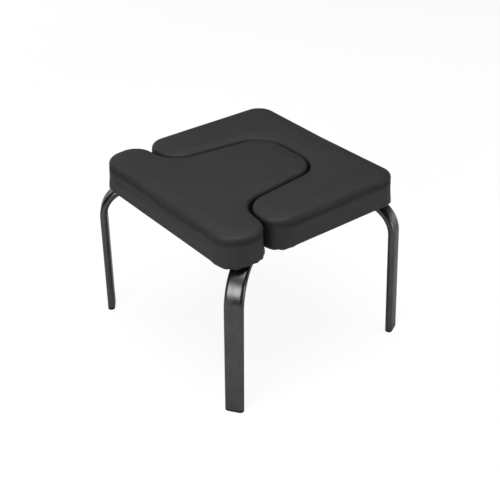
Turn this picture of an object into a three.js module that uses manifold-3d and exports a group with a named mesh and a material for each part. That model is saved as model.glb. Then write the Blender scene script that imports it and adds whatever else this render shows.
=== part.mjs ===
// Yoga headstand stool: four bent tube legs carry a C-shaped pad and a T-shaped pad.
// The T pad's tongue fills the neck space of the C pad. Lifting the T pad off opens that space.
// Millimetres, +Z up, front of the seat at -Y, floor at z = 0.

import * as THREE from 'three';
import { mergeVertices } from 'three/addons/utils/BufferGeometryUtils.js';
import Module from 'manifold-3d';

// Driving dimensions: the seat
const padWidth = 400;
const padDepth = 394;
const seatHeight = 347;
const padThickness = 61;
const seamGap = 3;
const sideGap = 7.5;
const clearance = 0.3;

// Shares of the seat's depth: the T pad's front bar, its flare to the neck, and the tongue reaching back
const barDepthShare = 0.2294;
const barFlareShare = 0.0175;
const tongueLengthShare = 0.7665;
const tongueBowShare = 0.0041;
const backDipShare = 0.0101;
const hubShare = 0.2433;

// Shares of the seat's width
const neckHalfShare = 0.2613;
const tongueEndHalfShare = 0.198;
const hubPlateWidthShare = 0.31;

// Corner radii as shares of the seat's shorter side
const cornerShare = 0.113;
const slotCornerShare = 0.1;
const backCornerShare = 0.0947;
const neckRadiusShare = 0.137;
const tongueCornerShare = 0.14;
const tongueBowRadiusShare = 2.5;
const backDipRadiusShare = 1.78;
const crownReachShare = 0.8;

// Driving dimensions: what the pads are made of
const coverThickness = 1.2;
const hemWidth = 12;
const bottomEdgeRadius = 3;
const edgeRadius = 9;
const seamEdgeShare = 0.8;
const slotEdgeShare = 0.9;
const sideDraw = 1;
const crown = 2;
const boardThickness = 12;
const liningThickness = 0.8;
const liningInset = 8;

// Driving dimensions: the tube frame
const tubeWidth = 35;
const tubeThickness = 14;
const tubeWall = 1.5;
const bendRadius = 63;
const footOutset = 6.3;
const frontFootInset = 3.3;
const backFootOutset = 2.4;
const frontSplayDegrees = 0.1;
const backSplayDegrees = 2.8;
const hubPlateDepth = 84;
const hubPlateThickness = 4;
const hubPlateCorner = 14;
const capBase = 4;
const capEdge = 1;
const capPlugLength = 20;
const capPlugClearance = 0.35;
const capRibDepth = 0.9;
const capRibs = 3;

// Driving dimensions: fixings
const boltDiameter = 6;
const boltHeadWidth = 10;
const boltHeadHeight = 4;
const boltReach = 9;
const washerDiameter = 18;
const washerThickness = 1.6;
const screwDiameter = 4.5;
const screwHeadWidth = 9;
const screwHeadHeight = 2.5;
const screwOffset = 6.5;
const studDiameter = 8;
const studPoint = 2;
const studProud = 4;
const teeFlangeOverlap = 5.5;
const teeFlangeThickness = 1.5;
const teeWall = 0.9;
const holeClearance = 0.5;

// Where fixings sit on an arm, as shares of its straight run from bend to hub
const barStudShare = 0.035;
const tongueStudShare = 0.71;
const cornerBoltShare = 0.095;
const backBoltShare = 0.374;

// How far a cutting tool runs past the surface it cuts
const overrun = 2;

// Facets round a hole or fixing, round each end of the tube section, along a bend and round a pad corner
const roundSides = 12;
const tubeEndSides = 3;
const bendSteps = 9;
const arcSteps = 5;

// Heights that follow from the sizes above
const padBottom = seatHeight - padThickness;
const hemBottom = padBottom + liningThickness + clearance;
const hemTop = hemBottom + coverThickness;
const boardBottom = hemTop + clearance;
const boardTop = boardBottom + boardThickness;
const armTop = padBottom - clearance;
const armCentre = armTop - tubeThickness / 2;
const armBottom = armTop - tubeThickness;
const frontSplay = THREE.MathUtils.degToRad(frontSplayDegrees);
const backSplay = THREE.MathUtils.degToRad(backSplayDegrees);

const material = (color, roughness, metalness) =>
  new THREE.MeshStandardMaterial({ color, roughness, metalness });
const finishes = {
  cover: () => material(0x2c2c2d, 0.55, 0),
  foam: () => material(0xd9d2b4, 0.95, 0),
  plywood: () => material(0xb98f5c, 0.7, 0),
  lining: () => material(0x1b1b1c, 0.95, 0),
  tube: () => material(0x48484a, 0.35, 0.85),
  plastic: () => material(0x141414, 0.5, 0),
  zinc: () => material(0xb9bcc0, 0.35, 0.9),
};

// Solid cutting and joining
const wasm = await Module();
wasm.setup();

function toSolid(geometry) {
  const bare = geometry.clone();
  bare.deleteAttribute('normal');
  bare.deleteAttribute('uv');
  const merged = mergeVertices(bare);
  return new wasm.Manifold(new wasm.Mesh({
    numProp: 3,
    vertProperties: merged.attributes.position.array,
    triVerts: Uint32Array.from(merged.index.array),
  }));
}

function toGeometry(solid) {
  const mesh = solid.getMesh();
  const geometry = new THREE.BufferGeometry();
  geometry.setAttribute('position', new THREE.BufferAttribute(mesh.vertProperties, mesh.numProp));
  geometry.setIndex(new THREE.BufferAttribute(mesh.triVerts, 1));
  return geometry;
}

function cut(geometry, tools) {
  return toGeometry(tools.reduce((solid, tool) => solid.subtract(toSolid(tool)), toSolid(geometry)));
}

function join(first, second) {
  return toGeometry(toSolid(first).add(toSolid(second)));
}

// A closed solid through rings of equal point counts, with a flat cap on the first and last ring
function ringSolid(rings) {
  const count = rings[0].length;
  const flat = (ring) => ring.map((p) => new THREE.Vector2(p.x, p.y));
  const last = (rings.length - 1) * count;
  const index = [];
  THREE.ShapeUtils.triangulateShape(flat(rings[0]), []).forEach(([a, b, c]) => index.push(a, c, b));
  for (let ring = 0; ring < rings.length - 1; ring += 1) {
    for (let point = 0; point < count; point += 1) {
      const next = (point + 1) % count;
      const low = ring * count;
      const high = low + count;
      index.push(low + point, low + next, high + next, low + point, high + next, high + point);
    }
  }
  THREE.ShapeUtils.triangulateShape(flat(rings.at(-1)), [])
    .forEach(([a, b, c]) => index.push(last + a, last + b, last + c));
  const geometry = new THREE.BufferGeometry().setFromPoints(rings.flat());
  geometry.setIndex(index);
  return geometry;
}

// Outlines: a corner is a place, a fillet radius, the steps round it, and how full the edge is there:
// a full edge has the whole edge radius, and edges along the seam have a share of it
const corner = (x, y, radius, steps, fullness = 1) => ({ x, y, radius, steps, fullness });

function mirrorCorners(half) {
  const other = half.filter((c) => c.x !== 0).map((c) => ({ ...c, x: -c.x }));
  return [...half, ...other.reverse()];
}

// The fillet at a corner: how far it turns and to which side, its first inward normal and its centre
function filletAt(corners, i) {
  const here = corners[i];
  const place = new THREE.Vector2(here.x, here.y);
  const before = corners[(i + corners.length - 1) % corners.length];
  const after = corners[(i + 1) % corners.length];
  const arriving = place.clone().sub(before).normalize();
  const leaving = new THREE.Vector2(after.x, after.y).sub(place).normalize();
  const turn = Math.atan2(arriving.cross(leaving), arriving.dot(leaving));
  const side = Math.sign(turn);
  const firstNormal = new THREE.Vector2(-arriving.y, arriving.x);
  const lastNormal = new THREE.Vector2(-leaving.y, leaving.x);
  const towardCentre = firstNormal.clone().add(lastNormal).divideScalar(1 + Math.cos(turn));
  const centre = place.clone().addScaledVector(towardCentre, side * here.radius);
  return { turn, side, firstNormal, centre };
}

// A ring round the filleted outline. Level gives the inset and height for a corner's fullness,
// and every fillet keeps its centre as the ring moves inward
function ringAt(corners, level) {
  const points = [];
  corners.forEach((here, i) => {
    const { turn, side, firstNormal, centre } = filletAt(corners, i);
    const [inset, z] = level(here.fullness);
    for (let step = 0; step <= here.steps; step += 1) {
      const normal = firstNormal.clone().rotateAround(new THREE.Vector2(), (turn * step) / here.steps);
      const point = centre.clone().addScaledVector(normal, inset - side * here.radius);
      points.push(new THREE.Vector3(point.x, point.y, z));
    }
  });
  return points;
}

const loft = (corners, levels) => ringSolid(levels.map((level) => ringAt(corners, level)));
const plate = (corners, inset, bottom, top) => loft(corners, [() => [inset, bottom], () => [inset, top]]);

// T pad outline: the bar's two corners, the hollow neck and the tongue with its bowed end
const frontY = -padDepth / 2;
const barRearY = frontY + barDepthShare * padDepth;
const neckY = barRearY + barFlareShare * padDepth;
const tongueEndY = frontY + tongueLengthShare * padDepth;
const tongueBow = tongueBowShare * padDepth;
const neckHalfWidth = neckHalfShare * padWidth;
const tongueEndHalfWidth = tongueEndHalfShare * padWidth;
const shorterSide = Math.min(padWidth, padDepth);
const cornerRadius = cornerShare * shorterSide;
const slotCornerRadius = slotCornerShare * shorterSide;
const neckRadius = neckRadiusShare * shorterSide;
const tongueCornerRadius = tongueCornerShare * shorterSide;
const tongueBowRadius = tongueBowRadiusShare * shorterSide;
const tPad = mirrorCorners([
  corner(padWidth / 2, frontY, cornerRadius, arcSteps),
  corner(padWidth / 2, barRearY, slotCornerRadius, arcSteps, slotEdgeShare),
  corner(neckHalfWidth, neckY, neckRadius, arcSteps, seamEdgeShare),
  corner(tongueEndHalfWidth, tongueEndY - tongueBow, tongueCornerRadius, arcSteps, seamEdgeShare),
  corner(0, tongueEndY, tongueBowRadius, 2, seamEdgeShare),
]);

// C pad outline: the same neck and tongue one seam gap further out, then its own tips and back
const cPad = mirrorCorners([
  corner(0, tongueEndY + seamGap, tongueBowRadius, 2, seamEdgeShare),
  corner(
    tongueEndHalfWidth + seamGap, tongueEndY + seamGap - tongueBow,
    tongueCornerRadius + seamGap, arcSteps, seamEdgeShare,
  ),
  corner(neckHalfWidth + seamGap, neckY + seamGap, neckRadius - seamGap, arcSteps, seamEdgeShare),
  corner(padWidth / 2, barRearY + sideGap, slotCornerRadius, arcSteps, slotEdgeShare),
  corner(padWidth / 2, padDepth / 2, backCornerShare * shorterSide, arcSteps),
  corner(0, padDepth / 2 - backDipShare * padDepth, backDipRadiusShare * shorterSide, 1),
]);

// A pad's outer surface, or one parallel to it at some depth, as levels from its shoulder to its top
const roundSteps = 3;
const crownReach = crownReachShare * Math.min(slotCornerRadius, tongueCornerRadius, neckRadius - seamGap);
const wallFoot = hemBottom + bottomEdgeRadius;

function padTop(depth) {
  const levels = [];
  for (let step = 0; step <= roundSteps; step += 1) {
    const angle = (Math.PI / 2) * (step / roundSteps);
    levels.push((fullness) => {
      const radius = fullness * edgeRadius;
      return [
        fullness * sideDraw + radius - (radius - depth) * Math.cos(angle),
        seatHeight - fullness * crown - radius + (radius - depth) * Math.sin(angle),
      ];
    });
  }
  levels.push((fullness) =>
    [(fullness * (edgeRadius + crownReach)) / 2, seatHeight - (fullness * crown) / 4 - depth]);
  levels.push((fullness) => [fullness * crownReach, seatHeight - depth]);
  return levels;
}

// A level on the side wall, which leans in by sideDraw from its foot to its shoulder
const onWall = (depth, z) => (fullness) => {
  const shoulder = seatHeight - fullness * (crown + edgeRadius);
  return [depth + (fullness * sideDraw * (z - wallFoot)) / (shoulder - wallFoot), z];
};

// The cover is one sheet: over the top, down the sides and turned under as a hem
function makeCover(corners) {
  const outside = [
    () => [hemWidth, hemBottom],
    () => [bottomEdgeRadius, hemBottom],
    () => [0, wallFoot],
    ...padTop(0),
  ];
  const inside = [
    () => [hemWidth, hemTop],
    () => [bottomEdgeRadius, hemTop],
    () => [coverThickness, wallFoot],
    ...padTop(coverThickness),
  ];
  return loft(corners, [...inside.reverse(), ...outside]);
}

function makeFoam(corners) {
  const depth = coverThickness + clearance;
  return loft(corners, [onWall(depth, boardTop + clearance), ...padTop(depth)]);
}

function rod(radius, bottom, top, at) {
  const geometry = new THREE.CylinderGeometry(radius, radius, top - bottom, roundSides);
  return geometry.rotateX(Math.PI / 2).translate(at.x, at.y, (bottom + top) / 2);
}

// The plywood board takes a tee nut at each fixing, with the flange let in flush, and plain holes for screws
function makeBoard(corners, fixings, shankDiameter, screws) {
  const depth = coverThickness + clearance;
  const edgeTop = boardBottom + bottomEdgeRadius;
  const board = loft(corners, [
    () => [depth + bottomEdgeRadius, boardBottom],
    onWall(depth, edgeTop),
    onWall(depth, boardTop),
  ]);
  const bore = shankDiameter / 2 + clearance + teeWall + clearance;
  const recess = bore + teeFlangeOverlap;
  const nutCutters = Object.values(fixings).flatMap((at) => [
    rod(bore, boardBottom - overrun, boardTop + overrun, at),
    rod(recess, boardTop - teeFlangeThickness - clearance, boardTop + overrun, at),
  ]);
  const screwCutters = Object.values(screws).map((at) =>
    rod(screwDiameter / 2 + clearance, boardBottom - overrun, boardBottom + boltReach + clearance, at));
  return cut(board, [...nutCutters, ...screwCutters]);
}

function makeLining(corners, fixings, shankDiameter, screws) {
  const sheet = plate(corners, liningInset, padBottom, padBottom + liningThickness);
  const punch = (diameter) => (at) => rod(diameter / 2 + holeClearance, padBottom - overrun, hemTop, at);
  return cut(sheet, [
    ...Object.values(fixings).map(punch(shankDiameter)),
    ...Object.values(screws).map(punch(screwDiameter)),
  ]);
}

const spun = (profile, at) =>
  new THREE.LatheGeometry(profile.map(([r, z]) => new THREE.Vector2(r, z)), roundSides)
    .rotateX(Math.PI / 2).translate(at.x, at.y, 0);

function teeNut(at, shankDiameter) {
  const inner = shankDiameter / 2 + clearance;
  const outer = inner + teeWall;
  const flange = outer + teeFlangeOverlap;
  const bottom = boardTop - boltReach;
  return spun([
    [inner, bottom], [outer, bottom], [outer, boardTop - teeFlangeThickness],
    [flange, boardTop - teeFlangeThickness], [flange, boardTop], [inner, boardTop], [inner, bottom],
  ], at);
}

function bolt(at) {
  const headTop = armBottom - washerThickness - 2 * clearance;
  const head = new THREE.CylinderGeometry(boltHeadWidth / 2, boltHeadWidth / 2, boltHeadHeight, 6)
    .rotateX(Math.PI / 2).translate(at.x, at.y, headTop - boltHeadHeight / 2);
  return join(head, rod(boltDiameter / 2, headTop - boltHeadHeight / 2, boardBottom + boltReach, at));
}

function screw(at) {
  const top = armBottom - clearance;
  return spun([
    [0, top - screwHeadHeight], [screwHeadWidth / 2 - clearance, top - screwHeadHeight],
    [screwHeadWidth / 2, top - screwHeadHeight + clearance], [screwHeadWidth / 2, top],
    [screwDiameter / 2, top], [screwDiameter / 2, boardBottom + boltReach - screwDiameter],
    [0, boardBottom + boltReach],
  ], at);
}

function washer(at) {
  const inner = boltDiameter / 2 + clearance;
  const top = armBottom - clearance;
  const bottom = top - washerThickness;
  return spun([
    [inner, bottom], [washerDiameter / 2, bottom], [washerDiameter / 2, top], [inner, top], [inner, bottom],
  ], at);
}

function locatingStud(at) {
  const radius = studDiameter / 2;
  const tip = armBottom - studProud;
  return spun([
    [0, tip], [radius - studPoint, tip], [radius, tip + studPoint],
    [radius, boardBottom + boltReach], [0, boardBottom + boltReach],
  ], at);
}

// The legs: each foot, and the straight line of its arm to the hub
const hub = new THREE.Vector2(0, hubShare * padDepth);
const footX = padWidth / 2 + footOutset;
const feet = {
  front: { at: new THREE.Vector2(footX, frontY + frontFootInset), splay: frontSplay },
  back: { at: new THREE.Vector2(footX, padDepth / 2 + backFootOutset), splay: backSplay },
};
Object.values(feet).forEach((foot) => {
  foot.reach = foot.at.distanceTo(hub);
  foot.heading = hub.clone().sub(foot.at).angle();
  foot.bendEnd = (armCentre - bendRadius * (1 - Math.sin(foot.splay))) * Math.tan(foot.splay)
    + bendRadius * Math.cos(foot.splay);
});

// A place on an arm, at a share of its straight run
const onArm = (foot, share) =>
  foot.at.clone().lerp(hub, THREE.MathUtils.lerp(foot.bendEnd / foot.reach, 1, share));
const bothSides = (places) => Object.fromEntries(Object.entries(places).flatMap(([name, at]) => [
  [`${name}_right`, at],
  [`${name}_left`, new THREE.Vector2(-at.x, at.y)],
]));

const studPlaces = bothSides({
  bar: onArm(feet.front, barStudShare),
  tongue: onArm(feet.front, tongueStudShare),
});

// The front arm only passes under the C pad where the pad rounds the neck. A screw holds it there, at the
// arm's place nearest the middle of that rounding and off the arm's centreline towards it, clear of the hem
const neckCorner = cPad.findIndex(({ x }) => x === neckHalfWidth + seamGap);
const neckMiddle = filletAt(cPad, neckCorner).centre;
const armDirection = hub.clone().sub(feet.front.at).normalize();
const besideNeck = feet.front.at.clone()
  .addScaledVector(armDirection, neckMiddle.clone().sub(feet.front.at).dot(armDirection));
const screwPlaces = bothSides({
  front: besideNeck.clone().addScaledVector(neckMiddle.clone().sub(besideNeck).normalize(), screwOffset),
});
const boltPlaces = bothSides({
  corner: onArm(feet.back, cornerBoltShare),
  back: onArm(feet.back, backBoltShare),
});

// Centreline of a leg in its own upright plane: straight leg, bend, straight arm along +X
class LegLine extends THREE.Curve {
  constructor(splay, reach) {
    super();
    this.splay = splay;
    this.reach = reach;
    this.steps = bendSteps + 2;
  }

  bendPoint(angle) {
    const height = armCentre - bendRadius;
    const start = (height + bendRadius * Math.sin(this.splay)) * Math.tan(this.splay);
    const middle = start + bendRadius * Math.cos(this.splay);
    return new THREE.Vector3(middle - bendRadius * Math.cos(angle), 0, height + bendRadius * Math.sin(angle));
  }

  angleAt(t) {
    const share = THREE.MathUtils.clamp((t * this.steps - 1) / bendSteps, 0, 1);
    return THREE.MathUtils.lerp(this.splay, Math.PI / 2, share);
  }

  getPoint(t) {
    const step = t * this.steps;
    const bottom = new THREE.Vector3(-overrun * Math.tan(this.splay), 0, -overrun);
    const end = new THREE.Vector3(this.reach + tubeWidth, 0, armCentre);
    if (step < 1) return bottom.lerp(this.bendPoint(this.splay), step);
    if (step > this.steps - 1) return this.bendPoint(Math.PI / 2).lerp(end, step - this.steps + 1);
    return this.bendPoint(this.angleAt(t));
  }

  getTangent(t) {
    const angle = this.angleAt(t);
    return new THREE.Vector3(Math.sin(angle), 0, Math.cos(angle));
  }

  getPointAt(u) {
    return this.getPoint(u);
  }

  getTangentAt(u) {
    return this.getTangent(u);
  }
}

function flatOval(width, thickness) {
  const flat = (width - thickness) / 2;
  const shape = new THREE.Shape();
  shape.absarc(flat, 0, thickness / 2, -Math.PI / 2, Math.PI / 2);
  shape.absarc(-flat, 0, thickness / 2, Math.PI / 2, (3 * Math.PI) / 2);
  return shape;
}

// Everything on the far side of an upright plane through a place, facing along an angle
function beyond(place, angle) {
  const size = 2 * padWidth;
  return new THREE.BoxGeometry(size, size, size).translate(size / 2, 0, 0)
    .rotateZ(angle).translate(place.x, place.y, 0);
}

// Right-hand leg: tube cut level above its foot cap, drilled for its fixings and mitred at the hub
function makeLeg(foot, cutters) {
  const section = flatOval(tubeWidth, tubeThickness);
  section.holes.push(flatOval(tubeWidth - 2 * tubeWall, tubeThickness - 2 * tubeWall));
  const line = new LegLine(foot.splay, foot.reach);
  const tube = new THREE.ExtrudeGeometry(section, {
    steps: line.steps, curveSegments: tubeEndSides, extrudePath: line,
  }).rotateZ(foot.heading).translate(foot.at.x, foot.at.y, 0);
  const floorCutter = new THREE.BoxGeometry(2 * padWidth, 2 * padWidth, padWidth)
    .translate(0, 0, capBase + clearance - padWidth / 2);
  return cut(tube, [floorCutter, ...cutters]);
}

function mirrored(geometry) {
  const flipped = geometry.clone().scale(-1, 1, 1);
  const index = flipped.index.array;
  for (let i = 0; i < index.length; i += 3) [index[i], index[i + 1]] = [index[i + 1], index[i]];
  return flipped;
}

const drill = (diameter) => (at) =>
  rod(diameter / 2 + holeClearance, armBottom - overrun, armTop + overrun, at);
const centrePlane = beyond(new THREE.Vector2(clearance / 2, 0), Math.PI);
const backArmFace = hub.clone().add(
  new THREE.Vector2(0, tubeWidth / 2 + clearance).rotateAround(new THREE.Vector2(), feet.back.heading),
);
const frontLeg = makeLeg(feet.front, [
  centrePlane,
  beyond(backArmFace, feet.back.heading - Math.PI / 2),
  ...[studPlaces.bar_right, studPlaces.tongue_right].map(drill(studDiameter)),
  drill(screwDiameter)(screwPlaces.front_right),
]);
const backLeg = makeLeg(feet.back, [
  centrePlane,
  ...[boltPlaces.corner_right, boltPlaces.back_right].map(drill(boltDiameter)),
]);

// Foot cap: a base as wide as the tube, and a ribbed plug pushed up inside it
function makeFootCap(foot) {
  const plugInset = tubeWall + capPlugClearance;
  const ribPitch = capPlugLength / capRibs;
  const levels = [[capEdge, 0], [0, capEdge], [0, capBase], [plugInset + capRibDepth, capBase]];
  for (let rib = 0; rib < capRibs; rib += 1) {
    const low = capBase + ribPitch * rib;
    levels.push([plugInset + capRibDepth, low + ribPitch / 3]);
    levels.push([plugInset, low + ribPitch / 2]);
    levels.push([plugInset + capRibDepth, low + ribPitch]);
  }
  return ringSolid(levels.map(([inset, z]) =>
    flatOval(tubeWidth - 2 * inset, tubeThickness - 2 * inset).getPoints(tubeEndSides)
      .map((p) => new THREE.Vector3(p.y + z * Math.tan(foot.splay), -p.x, z))))
    .rotateZ(foot.heading).translate(foot.at.x, foot.at.y, 0);
}

const hubPlateSide = (hubPlateWidthShare * padWidth) / 2;
const hubPlate = plate(mirrorCorners([
  corner(hubPlateSide, hub.y - hubPlateDepth / 2, hubPlateCorner, arcSteps),
  corner(hubPlateSide, hub.y + hubPlateDepth / 2, hubPlateCorner, arcSteps),
]), 0, armBottom - clearance - hubPlateThickness, armBottom - clearance);

// Assembly
const named = (name, geometry, finish) => {
  const mesh = new THREE.Mesh(geometry, finish());
  mesh.name = name;
  return mesh;
};

const frame = new THREE.Group();
[['front', frontLeg], ['back', backLeg]].forEach(([end, leg]) => {
  const cap = makeFootCap(feet[end]);
  frame.add(
    named(`${end}_right_leg`, leg, finishes.tube),
    named(`${end}_left_leg`, mirrored(leg), finishes.tube),
    named(`${end}_right_foot_cap`, cap, finishes.plastic),
    named(`${end}_left_foot_cap`, mirrored(cap), finishes.plastic),
  );
});
frame.add(named('hub_plate', hubPlate, finishes.tube));

const eachFixing = (name, places, make) => Object.entries(places)
  .map(([place, at]) => named(`${name}_${place}`, make(at), finishes.zinc));

const cushion = (name, corners, fixings, shankDiameter, screws = {}) => {
  const group = new THREE.Group();
  group.add(
    named(`${name}_cover`, makeCover(corners), finishes.cover),
    named(`${name}_foam`, makeFoam(corners), finishes.foam),
    named(`${name}_board`, makeBoard(corners, fixings, shankDiameter, screws), finishes.plywood),
    named(`${name}_lining`, makeLining(corners, fixings, shankDiameter, screws), finishes.lining),
    ...eachFixing(`${name}_tee_nut`, fixings, (at) => teeNut(at, shankDiameter)),
  );
  return group;
};

const cPadGroup = cushion('c_pad', cPad, boltPlaces, boltDiameter, screwPlaces);
cPadGroup.add(
  ...eachFixing('c_pad_screw', screwPlaces, screw),
  ...eachFixing('c_pad_bolt', boltPlaces, bolt),
  ...eachFixing('c_pad_washer', boltPlaces, washer),
);

const tPadGroup = cushion('t_pad', tPad, studPlaces, studDiameter);
tPadGroup.add(...eachFixing('t_pad_stud', studPlaces, locatingStud));

const stool = new THREE.Group();
stool.add(frame, cPadGroup, tPadGroup);

// The origin lies on the floor, midway between the front and back feet
const extent = new THREE.Box3().setFromObject(stool);
stool.position.y = -(extent.min.y + extent.max.y) / 2;

export default stool;
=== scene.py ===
# The stool stands on a plain white floor and is seen from the front right and above. A soft box in
# front catches the bent tubes, a wide one overhead lights the pads, and weaker ones at the left, right
# and back light the sides. The surroundings are brighter behind the stool than behind the camera.
import math

import bmesh
import bpy
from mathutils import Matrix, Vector, noise
from mathutils.geometry import delaunay_2d_cdt


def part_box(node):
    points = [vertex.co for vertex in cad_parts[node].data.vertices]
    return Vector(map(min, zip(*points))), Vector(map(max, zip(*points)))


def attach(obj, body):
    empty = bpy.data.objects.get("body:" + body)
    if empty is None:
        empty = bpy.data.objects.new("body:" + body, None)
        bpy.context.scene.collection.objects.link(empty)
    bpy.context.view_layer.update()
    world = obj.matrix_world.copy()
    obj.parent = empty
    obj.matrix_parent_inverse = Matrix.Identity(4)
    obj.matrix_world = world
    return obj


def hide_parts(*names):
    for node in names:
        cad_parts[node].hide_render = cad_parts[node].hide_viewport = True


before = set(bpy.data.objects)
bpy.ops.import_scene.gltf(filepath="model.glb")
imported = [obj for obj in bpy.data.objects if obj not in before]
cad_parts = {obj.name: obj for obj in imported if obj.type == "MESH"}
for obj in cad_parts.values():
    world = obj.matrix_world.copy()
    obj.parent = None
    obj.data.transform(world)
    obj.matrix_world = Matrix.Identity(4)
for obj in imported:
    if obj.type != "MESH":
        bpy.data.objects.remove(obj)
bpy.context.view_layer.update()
scene = bpy.context.scene
scene.view_settings.view_transform = "Standard"

camera_place = (1.2835, -1.0225, 1.1918)
camera_azimuth = 51.425
camera_elevation = 32.206
camera_lens = 71.743
camera_film = 36


def toward(azimuth, elevation):
    """Direction out from the stool, in degrees. The front is at azimuth 0 and the right side at 90."""
    around = math.radians(azimuth)
    above = math.radians(elevation)
    level = math.cos(above)
    return Vector((math.sin(around) * level, -math.cos(around) * level, math.sin(above)))


def look_along(thing, direction):
    """Aims a camera or a light, and puts it in the scene."""
    thing.rotation_mode = "QUATERNION"
    thing.rotation_quaternion = direction.to_track_quat("-Z", "Y")
    scene.collection.objects.link(thing)


camera = bpy.data.objects.new("camera", bpy.data.cameras.new("camera"))
camera.data.lens = camera_lens
camera.data.sensor_width = camera_film
camera.location = camera_place
look_along(camera, -toward(camera_azimuth, camera_elevation))
scene.camera = camera

seat_middle = Vector((0, 0, 0.3))
plain_white = (1, 1, 1)
warm_white = (1, 0.985, 0.95)
cool_white = (0.95, 0.97, 1)


def soft_box(name, azimuth, elevation, distance, width, height, power, colour=plain_white):
    """A light that faces the seat and isn't seen itself."""
    light = bpy.data.lights.new(name, "AREA")
    light.shape = "RECTANGLE"
    light.size = width
    light.size_y = height
    light.energy = power
    light.color = colour
    box = bpy.data.objects.new(name, light)
    box.location = seat_middle + toward(azimuth, elevation) * distance
    box.visible_camera = False
    look_along(box, -toward(azimuth, elevation))


soft_box("front_soft_box", azimuth=19, elevation=24, distance=1.9,
         width=1.1, height=0.8, power=23, colour=warm_white)
soft_box("overhead_soft_box", azimuth=0, elevation=90, distance=2.6, width=2.2, height=2.2, power=72)
soft_box("left_soft_box", azimuth=-93, elevation=6, distance=2.4, width=1.4, height=0.8, power=6)
soft_box("right_soft_box", azimuth=116, elevation=0, distance=2.0,
         width=0.3, height=0.5, power=8.5, colour=cool_white)
soft_box("back_soft_box", azimuth=166, elevation=-3, distance=1.9,
         width=1.3, height=0.4, power=3.5, colour=cool_white)

floor_side = 14
floor_white = 0.66
floor_seen = 0.12
floor_glow = 0.9


def mesh_object(name, mesh):
    piece = bpy.data.objects.new(name, mesh)
    scene.collection.objects.link(piece)
    return piece


def grey(level):
    return level, level, level, 1


def feed(tree, socket, source):
    """Sets a socket to a value, or joins it to another node's output."""
    if isinstance(source, bpy.types.NodeSocket):
        tree.links.new(source, socket)
    else:
        socket.default_value = source


def fill_in(tree, made, **inputs):
    """Feeds a node's inputs by name."""
    for name, source in inputs.items():
        feed(tree, made.inputs[name.replace("_", " ")], source)


def node(tree, kind, **inputs):
    """A new node with its inputs fed by name."""
    made = tree.nodes.new(kind)
    fill_in(tree, made, **inputs)
    return made


def node_in_order(tree, kind, *sources):
    """A new node with its first inputs fed in order."""
    made = tree.nodes.new(kind)
    for socket, source in zip(made.inputs, sources):
        feed(tree, socket, source)
    return made


def new_finish(name):
    """An empty material, with its node tree and its shader."""
    finish = bpy.data.materials.new(name)
    finish.use_nodes = True
    return finish, finish.node_tree, finish.node_tree.nodes["Principled BSDF"]


def make_floor_paint():
    """A pale floor that lights the stool from below. It is seen nearly white, with a soft shadow."""
    finish, tree, shader = new_finish("floor_paint")
    fill_in(tree, shader, Base_Color=grey(floor_white), Specular_IOR_Level=0)
    lit = node(tree, "ShaderNodeBsdfPrincipled", Base_Color=grey(floor_seen), Specular_IOR_Level=0,
               Emission_Color=grey(1), Emission_Strength=floor_glow)
    seen = node(tree, "ShaderNodeLightPath").outputs["Is Camera Ray"]
    either = node_in_order(tree, "ShaderNodeMixShader", seen, shader.outputs[0], lit.outputs[0])
    fill_in(tree, tree.nodes["Material Output"], Surface=either.outputs[0])
    return finish


floor_half = floor_side / 2
floor_corners = [(x * floor_half, y * floor_half, 0) for x, y in ((-1, -1), (1, -1), (1, 1), (-1, 1))]
floor_mesh = bpy.data.meshes.new("floor")
floor_mesh.from_pydata(floor_corners, [], [(0, 1, 2, 3)])
floor = mesh_object("floor", floor_mesh)
floor.data.materials.append(make_floor_paint())

surround_behind = 4
surround_by_camera = 0.3
surround_low = 0.15
bright_until = -0.95
dim_from = -0.35
full_from = 0.45


def computed(tree, operation, *sources):
    """What a Math node makes of its inputs."""
    made = node_in_order(tree, "ShaderNodeMath", *sources)
    made.operation = operation
    return made.outputs["Value"]


def spread(tree, source, easing="LINEAR", **ends):
    """A value carried over from one range to another."""
    made = node(tree, "ShaderNodeMapRange", Value=source, **ends)
    made.interpolation_type = easing
    return made.outputs["Result"]


def make_surroundings():
    """White walls: bright behind the stool, dim by the camera and low down, and plain white where seen."""
    world = bpy.data.worlds.new("surroundings")
    world.use_nodes = True
    scene.world = world
    tree = world.node_tree
    direction = node(tree, "ShaderNodeTexCoord").outputs["Generated"]
    facing = node_in_order(tree, "ShaderNodeVectorMath", direction, toward(camera_azimuth, 0))
    facing.operation = "DOT_PRODUCT"
    strength = spread(tree, facing.outputs["Value"], "SMOOTHSTEP", From_Min=bright_until, From_Max=dim_from,
                      To_Min=surround_behind, To_Max=surround_by_camera)
    height = node(tree, "ShaderNodeSeparateXYZ", Vector=direction).outputs["Z"]
    rise = spread(tree, height, "SMOOTHSTEP", From_Min=0, From_Max=full_from, To_Min=surround_low, To_Max=1)
    lit = computed(tree, "MULTIPLY", strength, rise)
    camera_ray = node(tree, "ShaderNodeLightPath").outputs["Is Camera Ray"]
    seen = node(tree, "ShaderNodeMix", Factor=camera_ray, A=lit, B=1)
    fill_in(tree, tree.nodes["Background"], Strength=seen.outputs["Result"])


make_surroundings()


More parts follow.
